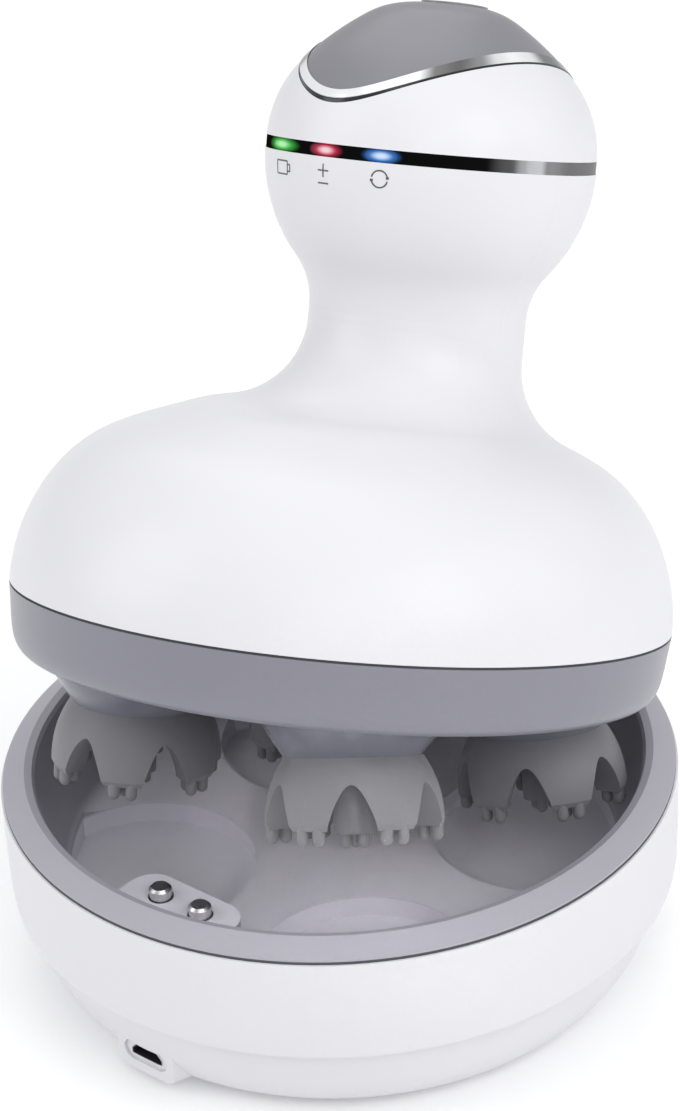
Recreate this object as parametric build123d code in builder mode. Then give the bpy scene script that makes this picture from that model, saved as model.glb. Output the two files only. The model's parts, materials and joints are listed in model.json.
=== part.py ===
"""Electric scalp massager with four kneading heads, leaning in its round charging dock.

Frame: millimetres, +Z up, origin on the standing surface under the middle of the dock.
The front, with the charging socket and the indicator lights, faces -Y.
The massager is modelled upright about its own axis, with z = 0 at the seam between its
white shell and its grey lower case, and is then placed in the dock by one leaning frame.
"""

import os
from math import acos, atan2, cos, degrees, radians, sin, sqrt

from build123d import *

# ---------------------------------------------------------------- general clearances
fit = 0.10                    # parts that are pushed together
slack = 0.30                  # parts that pass each other freely
board_thickness = 1.2
screw_radius = 1.45
screw_head_radius = 2.7
screw_head_height = 1.8

# ---------------------------------------------------------------- massager: outer form
body_radius = 61.6            # at the seam
dome_height = 36.0            # crown of the dome above the seam
dome_outline = [(1.0, 0.0), (0.978, 0.271), (0.902, 0.555), (0.768, 0.778), (0.58, 0.918), (0.0, 1.0)]
grip_radius = 30.8            # ball of the grip, at its widest
grip_height = 82.65           # widest level of the grip above the seam
grip_rise = 28.5              # crown of the grip above its widest level
grip_setback = 14.9           # grip axis behind the body axis
neck_radius = 20.3
neck_blend = 14.0             # hollow between neck and ball
dome_blend = 16.0             # hollow between neck and dome
shell_wall = 2.4
case_wall = 2.2
case_depth = 12.9             # seam down to the flat underside
case_draft = 0.12             # the case narrows by this for each millimetre down
case_flank = 6.1              # seam down to the end of the straight flank
case_flat = 56.1              # radius of the flat underside
seam_gap = 0.5                # thickness of the seal in the seam
seal_recess = 0.4
boss_radius = 3.6
screw_azimuths = [-17, 17, 90, 180, 270]
screw_inset = 13.6            # screw circle inside the body radius
screw_length = 12.0           # thread in each boss of the shell
screw_sink = 2.6              # depth of the holes for the screw heads
boss_height = 4.5             # screw bosses of the case above its floor

# ---------------------------------------------------------------- massager: grip details
band_low = 82.25              # lower edge of the indicator band above the seam
band_height = 2.4
band_depth = 1.8
band_recess = 0.15
light_spread = 22.8           # degrees between neighbouring lights
light_width = 6.0
light_height = 1.8
light_depth = 2.6
led_reach = 24.0              # face of the LED board in front of the grip axis
led_board_width = 26.0
led_board_height = 8.0
led_size = 2.4
cap_wall = 3.4
panel_length = 28.4           # half length of the leaf panel, front to back
panel_width = 20.6            # half width of the leaf panel
trim_length = 29.3            # half length of the bright trim round it
trim_width = 22.6             # half width of the bright trim
inlay_depth = 1.6
button_diameter = 12.4
button_setback = 3.0          # button axis behind the grip axis
button_proud = 0.3
button_travel = 0.8
button_sink = 3.6             # crown of the grip down to the floor under the button
button_stem = 2.2
button_clip = 3.4

# ---------------------------------------------------------------- massager: drive
head_circle = 37.5            # head axes from the body axis
head_module = 1.0             # gear module of the head gears
head_teeth = 30
fine_module = 0.6             # gear module nearer the motor
small_teeth = 12              # motor pinion and the small wheel of the idler
idler_teeth = 48
main_teeth = 60
gear_width = 5.0
fine_width = 4.0
gear_gap = 0.8                # between gears and the plates beside them
backlash = 0.04               # share of a tooth step taken off each flank
plate_thickness = 2.0
plate_radius = 45.5
plate_gap = 1.0               # lower gear plate above the floor of the case
post_inset = 4.0              # post circle inside the plate radius
post_size = 3.0
motor_post_circle = 27.0
motor_post_azimuths = [0, 90, 180, 225]
motor_plate_radius = 30.5
shaft_radius = 4.0
bushing_wall = 2.0
idler_shaft_radius = 1.5
motor_shaft_radius = 1.0
motor_shaft_reach = 4.0       # shaft inside the motor's can
motor_radius = 12.2
motor_length = 18.5
motor_forward = 12.0          # motor axis in front of the body axis
motor_boss = 3.0
cell_radius = 9.2
cell_length = 65.0
board_drop = 21.85            # crown of the grip down to the control board
holder_wall = 1.6
control_board_radius = 24.0
switch_size = 6.0
switch_height = 3.5

# ---------------------------------------------------------------- massager: heads
hub_radius = 17.2             # where the hub leaves the case
junction_depth = 21.0         # seam down to the joint between hub and claw
claw_offset = 1.4             # claw axis beside the head axis, so that the claws knead
claw_azimuth = 142            # direction of that offset
hub_waist = 15.1              # half way down the flare of the hub
claw_top_radius = 12.4
claw_radius = 15.9
claw_height = 12.6            # top of the claw to the ends of its legs
claw_inner = 10.2             # hollow between the legs
claw_crown = 4.6              # solid top of the claw
leg_count = 6
arch_width = 8.9              # between the feet of two legs
arch_height = 8.0
post_radius = 3.75            # post in the middle of the claw
post_extra = 1.1              # the post is longer than the legs
nub_radius = 1.1
nub_length = 2.6
nub_outer = 14.6              # circle of the two outer nubs of each leg
nub_inner = 12.2              # circle of its inner nub
nub_turn = 6.3                # degrees from the middle of the leg
post_nub_radius = 1.0
plug_radius = 6.0
plug_length = 3.0
head_azimuths = {"front_right": 45, "rear_right": 135, "rear_left": 225, "front_left": 315}
claw_tilts = {"front_right": 12, "rear_right": 10, "rear_left": 8, "front_left": 6}
claw_headings = {"front_right": 27, "rear_right": 3, "rear_left": -60, "front_left": -112}
leg_phases = {"front_right": 24, "rear_right": -16.5, "rear_left": 0, "front_left": 20}

# ---------------------------------------------------------------- dock
dock_radius = 64.1            # at the seam
dock_height = 40.0            # seam above the standing surface
dock_foot_radius = 50.0
dock_outline = [(0.0, 0.0), (0.45, 0.08), (0.67, 0.25), (0.86, 0.50), (1.0, 1.0)]
dock_wall = 2.4
pad_thickness = 1.4
pad_reveal = 0.8              # the pad stands below the base plate by this much
pad_radius = 44.0
base_radius = 48.0
base_thickness = 2.6
ledge_width = 2.6             # ledge of the shell over the edge of the base plate
ledge_thickness = 1.6
base_screw_circle = 25.0
base_boss_height = 2.6
dock_seal_thickness = 0.6
rim_rise = 2.6                # inner edge of the liner rim above the seam
rim_radius = 59.5             # highest line of the rim
rim_lip = 1.4                 # width of the lip inside the highest line
lip_drop = 0.4                # inner edge of the lip below the highest line
lip_height = 0.8              # steep inner face under the lip
bowl_top_radius = 57.6
bowl_foot_radius = 53.6
bowl_floor = 19.6
bowl_corner = 6.0
liner_wall = 2.0
pocket_circle = 38.0
pocket_radius = 21.0
pocket_depth = 4.4
stage_width = 25.0            # raised contact stage
stage_front = 40.6            # its inner edge, from the dock axis
stage_top = 33.0
stage_corner = 5.0
pin_spacing = 9.6
pin_circle = 46.0             # pins from the dock axis
pin_radius = 2.1
pin_height = 2.3              # above the stage
pin_travel = 1.2
pin_flange = 0.8
spring_wire = 0.25            # radius of the wire
spring_turns = 6
spring_foot = 19.0            # level of the spring seats in the pin carrier
carrier_width = 19.0
carrier_depth = 8.4
contact_plate_radius = 2.8    # plates on the massager that meet the pins
contact_proud = 0.2
contact_flange = 0.6
pin_flange_width = 1.0
pin_tail = 4.0
contact_board_level = 10.8
contact_board_width = 26.0
contact_board_depth = 15.0
port_width = 13.6
port_height = 9.0
port_foot = 2.2               # lower edge of the boss above the table
port_face = 58.6              # flat face of the socket boss, from the dock axis
port_flare = 5.0              # the boss widens by this much on each side
port_level = 6.4              # middle of the socket
port_mouth = 10.4             # width of the recess round the socket
port_mouth_depth = 2.6
socket_width = 7.5
socket_height = 2.6
socket_depth = 5.6
usb_board_width = 16.0
usb_board_depth = 16.0
board_post = 1.7              # radius of the posts under the boards
board_post_side = 2.5         # posts outside the edge of the USB board
board_post_back = 4.5         # posts behind the row of pins
socket_back = 0.5             # closed end of the socket
socket_skin = 0.3
tongue_thickness = 0.7
tongue_side = 1.6             # free space beside the tongue
tongue_sink = 0.8             # tongue behind the mouth of the socket

# ---------------------------------------------------------------- how the massager leans in the dock
lean_angle = 22.95
lean_heading = 20.2           # degrees from straight back towards -X
lean_side = 0.6               # seam centre beside the heading, towards +X
massager_turn = -2.2          # degrees the massager is turned about its own axis
rest_rise = 0.7               # the rim holds the tilted case beside its lowest point, this far below it

# ---------------------------------------------------------------- values that follow
seam_top = seam_gap / 2
case_floor = case_wall - case_depth
lower_plate = case_floor + plate_gap
gear_level = lower_plate + plate_thickness + gear_gap
upper_plate = gear_level + gear_width + gear_gap
main_level = upper_plate + plate_thickness + gear_gap
idler_level = main_level + fine_width + gear_gap
motor_plate_level = idler_level + fine_width + gear_gap
boss_foot = case_floor + boss_height
screw_circle = body_radius - screw_inset
notch_radius = boss_radius + slack
band_top = band_low + band_height
band_radius = grip_radius - band_recess
light_level = band_low + band_height / 2
crown_level = grip_height + grip_rise
button_floor = crown_level - button_sink
board_level = crown_level - board_drop
cell_level = board_level - slack - cell_length
holder_floor = cell_level - holder_wall
holder_radius = cell_radius + slack + holder_wall
centre_teeth = round(2 * head_circle / head_module) - head_teeth
idler_reach = fine_module * (small_teeth + main_teeth) / 2
motor_reach = fine_module * (small_teeth + idler_teeth) / 2
rim_level = dock_height + rim_rise
base_level = pad_reveal
ledge_level = base_level + base_thickness
liner_seat = dock_height
stage_ceiling = stage_top - liner_wall
pin_top = stage_top + pin_height

os.makedirs("parts", exist_ok=True)


# ================================================================ helpers
def place(azimuth, radius, level=0.0):
    """Point at an azimuth in degrees, 0 at the front and turning towards +X."""
    return (radius * sin(radians(azimuth)), -radius * cos(radians(azimuth)), level)


def case_radius(level):
    """Radius of the lower case on its straight flank, which narrows downwards."""
    return body_radius + case_draft * level


def leaning_frame():
    """Frame of the massager: the foot of its flank rests over the lip of the liner rim."""
    heading = Vector(*place(180 + lean_heading, 1.0))
    beside = Vector(*place(90 + lean_heading, 1.0))
    tilt = Axis((0, 0, 0), Vector(0, 0, 1).cross(heading))
    upright = Vector(0, 0, 1).rotate(tilt, lean_angle)
    across = Vector(1, 0, 0).rotate(tilt, lean_angle)
    across = across.rotate(Axis((0, 0, 0), upright), massager_turn)
    outward = heading.rotate(tilt, lean_angle)
    contact = heading * (rim_radius - rim_lip)
    contact += Vector(0, 0, rim_level - lip_drop + rest_rise)
    middle = contact - outward * case_radius(-case_flank) + upright * case_flank + beside * lean_side
    return Plane(origin=middle, x_dir=across, z_dir=upright)


def claw_plane(head):
    """Joint plane between hub and claw of one head, in the massager's frame."""
    azimuth = head_azimuths[head]
    lean = Vector(*place(azimuth + claw_headings[head], 1.0))
    upright = Vector(0, 0, 1) * cos(radians(claw_tilts[head])) - lean * sin(radians(claw_tilts[head]))
    outward = Vector(*place(azimuth + leg_phases[head], 1.0))
    across = outward - upright * outward.dot(upright)
    middle = Vector(*place(azimuth, head_circle, -junction_depth))
    middle += Vector(*place(claw_azimuth, claw_offset))
    return Plane(origin=middle, x_dir=across, z_dir=upright)


def save(piece, label, frame=None):
    """Write one finished piece, moved into its frame when it has one."""
    solid = piece.part if frame is None else piece.part.moved(frame.location)
    solid.label = label
    export_step(solid, f"parts/{label}.step")


def gear_outline(teeth, module, phase):
    """Corner points of a straight-flanked spur gear with one tooth at the phase angle."""
    pitch = module * teeth / 2
    step = 360 / teeth
    root = (pitch - 1.2 * module, 0.33 - backlash)
    tip = (pitch + 0.9 * module, 0.16 - backlash)
    corners = []
    for tooth in range(teeth):
        middle = phase + tooth * step
        for (radius, half), side in ((root, -1), (tip, -1), (tip, 1), (root, 1)):
            angle = radians(middle + side * half * step)
            corners.append((radius * cos(angle), radius * sin(angle)))
    return corners


def spur_gear(teeth, module, width, bore, at, phase=0.0):
    """Spur gear standing on the point at, with its teeth turned to the phase."""
    with BuildPart() as gear:
        with BuildSketch(Plane(origin=at)):
            with BuildLine():
                Polyline(*gear_outline(teeth, module, phase), close=True)
            make_face()
            Circle(bore, mode=Mode.SUBTRACT)
        extrude(amount=width)
    return gear


def meshing_phase(direction, driver_phase, driver_teeth, teeth):
    """Phase that sets a gap of one gear on a tooth of its driver, seen along direction."""
    share = (direction - driver_phase) * driver_teeth / 360
    return direction + 180 + (share - 0.5) * 360 / teeth


def post_row(level, height, radius, places):
    """Upright round posts standing on a level, as one part."""
    with BuildPart() as posts:
        with BuildSketch(Plane.XY.offset(level)):
            with Locations(*places):
                Circle(radius)
        extrude(amount=height)
    return posts.part


massager_frame = leaning_frame()
grip_axis = Axis((0, grip_setback, 0), (0, 0, 1))
grip_plane = Plane.XZ.offset(-grip_setback)
screw_places = [place(azimuth, screw_circle) for azimuth in screw_azimuths]
head_places = {head: place(azimuth, head_circle) for head, azimuth in head_azimuths.items()}
contact_places = [(side * pin_spacing / 2, -pin_circle) for side in (-1, 1)]


# ================================================================ massager: outer forms
def crown_curve(inset):
    """Upper half of the grip's ball, from its widest level to the crown."""
    ball = grip_radius - inset
    rise = grip_rise - inset
    stops = [radians(angle) for angle in (0, 30, 60, 90)]
    points = [(ball * cos(stop), grip_height + rise * sin(stop)) for stop in stops]
    return Spline(*points, tangents=((0, 1), (-1, 0)))


def crown_form(inset):
    """Solid of the upper half of the ball, drawn in by inset."""
    with BuildPart() as crown:
        with BuildSketch(grip_plane):
            with BuildLine():
                curve = crown_curve(inset)
                Polyline(curve @ 1, (0, grip_height), curve @ 0)
            make_face()
        revolve(axis=grip_axis)
    return crown.part


def body_form(inset):
    """Dome, neck and ball as one solid, drawn in by inset on every side."""
    radius = body_radius - inset
    height = dome_height - inset
    ball = grip_radius - inset
    neck = neck_radius - inset
    blend = neck_blend + inset
    turn = acos((neck + blend) / (ball + blend))
    waist = (neck, grip_height - (ball + blend) * sin(turn))
    meet = (ball * cos(turn), grip_height - ball * sin(turn))
    under = (ball * cos(turn / 2), grip_height - ball * sin(turn / 2))
    hollow = (neck + blend - blend * cos(turn / 2), waist[1] + blend * sin(turn / 2))
    with BuildPart() as form:
        with BuildSketch(Plane.XZ):
            with BuildLine():
                dome = Spline(*[(radius * u, height * v) for u, v in dome_outline],
                              tangents=((0, 1), (-1, 0)))
                Polyline(dome @ 1, (0, 0), dome @ 0)
            make_face()
        revolve(axis=Axis.Z)
        with BuildSketch(grip_plane):
            with BuildLine():
                crown = crown_curve(inset)
                ThreePointArc(crown @ 0, under, meet)
                ThreePointArc(meet, hollow, waist)
                Polyline(waist, (neck, 0), (0, 0), crown @ 1)
            make_face()
        revolve(axis=grip_axis)
        joint = form.edges().filter_by(GeomType.BSPLINE)
        joint = joint.filter_by(lambda edge: edge.bounding_box().size.X > neck)
        joint = joint.filter_by_position(Axis.Z, dome_height / 2, dome_height)
        fillet(joint, dome_blend + inset)
    return form.part


def case_form(inset):
    """Solid of the lower case, drawn in by inset, with a rounded lower edge."""
    top = (case_radius(-seam_top) - inset, -seam_top)
    turn = (case_radius(-case_flank) - inset, -case_flank)
    flat = (case_flat - inset, inset - case_depth)
    with BuildPart() as form:
        with BuildSketch(Plane.XZ):
            with BuildLine():
                Line(top, turn)
                Spline(turn, flat, tangents=((-case_draft, -1), (-1, 0)))
                Polyline(flat, (0, flat[1]), (0, top[1]), top)
            make_face()
        revolve(axis=Axis.Z)
    return form.part


outer_form = body_form(0)

# ================================================================ massager: shell and case
with BuildPart() as screw_bosses:
    with BuildSketch(Plane.XY.offset(seam_top)):
        with Locations(*screw_places):
            Circle(boss_radius)
    extrude(amount=dome_height)
    add(outer_form, mode=Mode.INTERSECT)
    add(post_row(boss_foot, 2 * seam_top - boss_foot, boss_radius, screw_places))

with BuildPart() as main_shell:
    add(outer_form)
    add(body_form(shell_wall), mode=Mode.SUBTRACT)
    split(bisect_by=Plane.XY.offset(band_low), keep=Keep.BOTTOM)
    split(bisect_by=Plane.XY.offset(seam_top), keep=Keep.TOP)
    add(screw_bosses.part)
    add(post_row(boss_foot, screw_length, screw_radius + fit, screw_places), mode=Mode.SUBTRACT)
save(main_shell, "main_shell", massager_frame)

with BuildPart() as seam_seal:
    with BuildSketch(Plane.XY.offset(-seam_top)):
        Circle(body_radius - seal_recess)
        Circle(body_radius - shell_wall + fit, mode=Mode.SUBTRACT)
    extrude(amount=seam_gap)
save(seam_seal, "seam_seal", massager_frame)

post_places = [place(quarter * 90, plate_radius - post_inset) for quarter in range(4)]
with BuildPart() as lower_case:
    add(case_form(0))
    add(case_form(case_wall), mode=Mode.SUBTRACT)
    add(post_row(case_floor, boss_foot - fit - case_floor, boss_radius, screw_places))
    add(post_row(case_floor, plate_gap, post_size, post_places))
    add(post_row(-case_depth, case_wall + plate_gap, hub_radius + slack, head_places.values()),
        mode=Mode.SUBTRACT)
    add(post_row(-case_depth, screw_sink, screw_head_radius + slack, screw_places), mode=Mode.SUBTRACT)
    add(post_row(-case_depth, case_depth, screw_radius + fit, screw_places), mode=Mode.SUBTRACT)
    add(post_row(-case_depth, case_wall, contact_plate_radius + fit, contact_places), mode=Mode.SUBTRACT)
save(lower_case, "lower_case", massager_frame)

screw_seat = screw_sink - case_depth
with BuildPart() as case_screws:
    add(post_row(screw_seat - screw_head_height, screw_head_height, screw_head_radius, screw_places))
    add(post_row(screw_seat, boss_foot + screw_length - 1 - screw_seat, screw_radius, screw_places))
    with BuildSketch(Plane.XY.offset(screw_seat - screw_head_height)):
        with Locations(*screw_places):
            Rectangle(1.2 * screw_head_radius, 0.25 * screw_head_radius)
            Rectangle(0.25 * screw_head_radius, 1.2 * screw_head_radius)
    extrude(amount=screw_head_height / 2, mode=Mode.SUBTRACT)
save(case_screws, "case_screws", massager_frame)

with BuildPart() as contact_plates:
    add(post_row(-case_depth - contact_proud, contact_proud + case_wall, contact_plate_radius,
                 contact_places))
    add(post_row(case_floor, contact_flange, contact_plate_radius + contact_flange, contact_places))
save(contact_plates, "contact_plates", massager_frame)


# ================================================================ massager: indicator band
def light_plane(azimuth, depth=0.0):
    """Plane facing inwards at one light, a depth behind the face of the band."""
    x, y, level = place(azimuth, band_radius - depth, light_level)
    return Plane(origin=(x, y + grip_setback, level), x_dir=(-y, x, 0), z_dir=(-x, -y, 0))


light_azimuths = {"light_battery": -light_spread, "light_power": 0, "light_direction": light_spread}
with BuildPart() as indicator_band:
    with BuildSketch(Plane(origin=(0, grip_setback, band_low))):
        Circle(band_radius)
        Circle(band_radius - band_depth, mode=Mode.SUBTRACT)
    extrude(amount=band_height)
    with BuildSketch(*[light_plane(azimuth) for azimuth in light_azimuths.values()]):
        SlotOverall(light_width, light_height)
    extrude(amount=2 * band_depth, both=True, mode=Mode.SUBTRACT)
save(indicator_band, "indicator_band", massager_frame)

for label, azimuth in light_azimuths.items():
    with BuildPart() as light:
        with BuildSketch(light_plane(azimuth)):
            SlotOverall(light_width - fit, light_height - fit)
        extrude(amount=light_depth)
    save(light, label, massager_frame)

led_face = grip_setback - led_reach
with BuildPart() as led_board:
    with BuildSketch(Plane.XZ.offset(-led_face)):
        with Locations((0, light_level)):
            Rectangle(led_board_width, led_board_height)
    extrude(amount=-board_thickness)
    with BuildSketch(Plane.XZ.offset(-led_face)):
        with Locations(*[(led_reach * sin(radians(a)), light_level) for a in light_azimuths.values()]):
            Rectangle(led_size, 0.7 * led_size)
    extrude(amount=0.4 * led_size)
save(led_board, "led_board", massager_frame)

# ================================================================ massager: cap, trim, panel, button
crown_plane = Plane(origin=(0, grip_setback, band_top))
button_plane = Plane(origin=(0, grip_setback + button_setback, 0))
stem_foot = board_level + board_thickness + switch_height + slack
stem_guide = button_floor - cap_wall / 2

with BuildPart() as cap_recess:
    add(crown_form(-1))
    add(crown_form(inlay_depth), mode=Mode.SUBTRACT)
    with BuildSketch(crown_plane):
        Ellipse(trim_width, trim_length)
    extrude(amount=grip_rise, mode=Mode.INTERSECT)

with BuildPart() as head_cap:
    add(crown_form(0))
    add(crown_form(cap_wall), mode=Mode.SUBTRACT)
    with BuildSketch(button_plane.offset(stem_guide)):
        Circle(button_diameter / 2 + cap_wall)
    extrude(amount=button_sink)
    add(cap_recess.part, mode=Mode.SUBTRACT)
    with BuildSketch(button_plane.offset(button_floor)):
        Circle(button_diameter / 2 + slack)
    extrude(amount=2 * button_sink, mode=Mode.SUBTRACT)
    with BuildSketch(button_plane.offset(stem_guide)):
        Circle(button_stem + slack)
    extrude(amount=button_sink, mode=Mode.SUBTRACT)
    split(bisect_by=Plane.XY.offset(band_top), keep=Keep.TOP)
save(head_cap, "head_cap", massager_frame)

with BuildPart() as trim_ring:
    add(crown_form(-band_recess))
    add(crown_form(inlay_depth), mode=Mode.SUBTRACT)
    with BuildSketch(crown_plane):
        Ellipse(trim_width - fit, trim_length - fit)
        Ellipse(panel_width, panel_length, mode=Mode.SUBTRACT)
    extrude(amount=grip_rise, mode=Mode.INTERSECT)
save(trim_ring, "trim_ring", massager_frame)

with BuildPart() as top_panel:
    add(crown_form(0))
    add(crown_form(inlay_depth), mode=Mode.SUBTRACT)
    with BuildSketch(crown_plane):
        Ellipse(panel_width - fit, panel_length - fit)
        with Locations((0, button_setback)):
            Circle(button_diameter / 2 + slack, mode=Mode.SUBTRACT)
    extrude(amount=grip_rise, mode=Mode.INTERSECT)
save(top_panel, "top_panel", massager_frame)

with BuildPart() as power_button:
    add(crown_form(-button_proud))
    with BuildSketch(button_plane.offset(button_floor + button_travel + slack)):
        Circle(button_diameter / 2)
    extrude(amount=2 * button_sink, mode=Mode.INTERSECT)
    with BuildSketch(button_plane.offset(stem_foot)):
        Circle(button_stem)
    extrude(amount=button_floor + button_travel + 2 * slack - stem_foot)
    with BuildSketch(button_plane.offset(stem_guide - slack - button_stem)):
        Circle(button_clip)
    extrude(amount=button_stem)
save(power_button, "power_button", massager_frame)

# ================================================================ massager: electronics
with BuildPart() as battery_cell:
    add(post_row(cell_level, cell_length, cell_radius, [(0, grip_setback)]))
    chamfer(battery_cell.edges().filter_by(GeomType.CIRCLE), 0.6)
save(battery_cell, "battery_cell", massager_frame)

holder_top = board_level
bracket_foot = light_level - led_board_height / 2
with BuildPart() as battery_holder:
    add(post_row(holder_floor, holder_top - holder_floor, holder_radius, [(0, grip_setback)]))
    add(post_row(motor_plate_level + plate_thickness, cell_level - motor_plate_level - plate_thickness,
                 cell_radius / 2, [(0, grip_setback)]))
    with BuildSketch(Plane.XY.offset(bracket_foot)):
        with Locations((0, (led_face + board_thickness + grip_setback) / 2)):
            Rectangle(post_size * 2, grip_setback - led_face - board_thickness)
    extrude(amount=led_board_height)
    add(post_row(cell_level, cell_length + slack, cell_radius + slack, [(0, grip_setback)]),
        mode=Mode.SUBTRACT)
    with BuildSketch(Plane.XY.offset(cell_level + cell_radius)):
        with Locations((0, grip_setback + holder_radius)):
            Rectangle(cell_radius, 2 * holder_radius)
    extrude(amount=cell_length - 3 * cell_radius, mode=Mode.SUBTRACT)
save(battery_holder, "battery_holder", massager_frame)

with BuildPart() as control_board:
    add(post_row(board_level, board_thickness, control_board_radius, [(0, grip_setback)]))
save(control_board, "control_board", massager_frame)

with BuildPart() as tactile_switch:
    with BuildSketch(button_plane.offset(board_level + board_thickness)):
        Rectangle(switch_size, switch_size)
    extrude(amount=0.7 * switch_height)
    with BuildSketch(button_plane.offset(board_level + board_thickness + 0.7 * switch_height)):
        Circle(0.25 * switch_size)
    extrude(amount=0.3 * switch_height - button_travel)
save(tactile_switch, "tactile_switch", massager_frame)

# ================================================================ massager: gearbox
idler_place = (-sqrt(idler_reach**2 - motor_forward**2), -motor_forward)
motor_place = (idler_place[0] + motor_reach, -motor_forward)
motor_posts = [place(azimuth, motor_post_circle) for azimuth in motor_post_azimuths]

with BuildPart() as gearbox_base:
    add(post_row(lower_plate, plate_thickness, plate_radius, [(0, 0)]))
    add(post_row(lower_plate, upper_plate - lower_plate, post_size, post_places))
    add(post_row(lower_plate, plate_thickness, shaft_radius + bushing_wall + fit, head_places.values()),
        mode=Mode.SUBTRACT)
    add(post_row(lower_plate, plate_thickness, shaft_radius + fit, [(0, 0)]), mode=Mode.SUBTRACT)
    add(post_row(lower_plate, upper_plate - lower_plate, notch_radius, screw_places), mode=Mode.SUBTRACT)
save(gearbox_base, "gearbox_base", massager_frame)

with BuildPart() as spindle_bushings:
    with BuildSketch(Plane.XY.offset(lower_plate)):
        with Locations(*head_places.values()):
            Circle(shaft_radius + bushing_wall)
            Circle(shaft_radius + fit, mode=Mode.SUBTRACT)
    extrude(amount=plate_thickness)
save(spindle_bushings, "spindle_bushings", massager_frame)

with BuildPart() as gearbox_top:
    add(post_row(upper_plate, plate_thickness, plate_radius, [(0, 0)]))
    add(post_row(upper_plate, motor_plate_level - upper_plate, post_size, motor_posts))
    add(post_row(upper_plate, plate_thickness, shaft_radius + fit, [(0, 0), *head_places.values()]),
        mode=Mode.SUBTRACT)
    add(post_row(upper_plate, plate_thickness, idler_shaft_radius + fit, [idler_place]), mode=Mode.SUBTRACT)
    add(post_row(upper_plate, plate_thickness, notch_radius, screw_places), mode=Mode.SUBTRACT)
save(gearbox_top, "gearbox_top", massager_frame)

with BuildPart() as motor_plate:
    add(post_row(motor_plate_level, plate_thickness, motor_plate_radius, [(0, 0)]))
    add(post_row(motor_plate_level, plate_thickness, shaft_radius + fit, [(0, 0)]), mode=Mode.SUBTRACT)
    add(post_row(motor_plate_level, plate_thickness, idler_shaft_radius + fit, [idler_place]),
        mode=Mode.SUBTRACT)
    add(post_row(motor_plate_level, plate_thickness, motor_boss + fit, [motor_place]), mode=Mode.SUBTRACT)
save(motor_plate, "motor_plate", massager_frame)

motor_seat = motor_plate_level + plate_thickness
with BuildPart() as drive_motor:
    add(post_row(motor_seat, motor_length, motor_radius, [motor_place]))
    chamfer(drive_motor.edges().sort_by(Axis.Z)[-1], 1.2)
    add(post_row(motor_plate_level, plate_thickness, motor_boss, [motor_place]))
    add(post_row(motor_plate_level, plate_thickness + motor_shaft_reach + fit, motor_shaft_radius + fit,
                 [motor_place]), mode=Mode.SUBTRACT)
save(drive_motor, "drive_motor", massager_frame)

# ================================================================ massager: gear train
shaft_foot = lower_plate + fit
with BuildPart() as centre_shaft:
    add(post_row(shaft_foot, motor_seat - slack - shaft_foot, shaft_radius, [(0, 0)]))
save(centre_shaft, "centre_shaft", massager_frame)

centre_gear = spur_gear(centre_teeth, head_module, gear_width, shaft_radius, (0, 0, gear_level))
save(centre_gear, "centre_gear", massager_frame)

main_wheel = spur_gear(main_teeth, fine_module, fine_width, shaft_radius, (0, 0, main_level))
save(main_wheel, "main_wheel", massager_frame)

idler_direction = degrees(atan2(idler_place[1], idler_place[0]))
idler_phase = meshing_phase(idler_direction, 0, main_teeth, small_teeth)
idler_small = spur_gear(small_teeth, fine_module, fine_width + gear_gap, idler_shaft_radius,
                        (*idler_place, main_level), idler_phase)
idler_large = spur_gear(idler_teeth, fine_module, fine_width, idler_shaft_radius,
                        (*idler_place, idler_level), 0)
with BuildPart() as idler_gear:
    add(idler_small.part)
    add(idler_large.part)
save(idler_gear, "idler_gear", massager_frame)

with BuildPart() as idler_shaft:
    add(post_row(upper_plate + fit, motor_seat - upper_plate - 2 * fit, idler_shaft_radius, [idler_place]))
save(idler_shaft, "idler_shaft", massager_frame)

pinion_phase = meshing_phase(0, 0, idler_teeth, small_teeth)
motor_pinion = spur_gear(small_teeth, fine_module, fine_width, motor_shaft_radius,
                         (*motor_place, idler_level), pinion_phase)
save(motor_pinion, "motor_pinion", massager_frame)

with BuildPart() as motor_shaft:
    shaft_length = motor_seat + motor_shaft_reach - idler_level
    add(post_row(idler_level, shaft_length, motor_shaft_radius, [motor_place]))
save(motor_shaft, "motor_shaft", massager_frame)

# ================================================================ massager: the four heads
claw_foot = -claw_height
post_foot = claw_foot - post_extra
arch_outline = [(-1.0, 0.0), (-0.68, 0.55), (0.0, 1.0), (0.68, 0.55), (1.0, 0.0)]
leg_angles = [step * 360 / leg_count for step in range(leg_count)]
arch_planes = [Plane.YZ.rotated((0, 0, angle + 180 / leg_count)) for angle in leg_angles]
nub_spots = [(nub_outer, -nub_turn), (nub_outer, nub_turn), (nub_inner, 0)]
nub_places = []
for angle in leg_angles:
    for reach, turn in nub_spots:
        nub_places.append((reach * cos(radians(angle + turn)), reach * sin(radians(angle + turn))))
post_nub_places = [place(third * 120, post_radius / 2)[:2] for third in range(3)]


def nubs(places, radius, foot):
    """Round-ended nubs under the legs or the post, as one part."""
    with BuildPart() as row:
        with Locations(*[(x, y, foot + 1) for x, y in places]):
            Cylinder(radius, nub_length + 1 - radius, align=(Align.CENTER, Align.CENTER, Align.MAX))
        with Locations(*[(x, y, foot - nub_length + radius) for x, y in places]):
            Sphere(radius)
    return row.part


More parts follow.
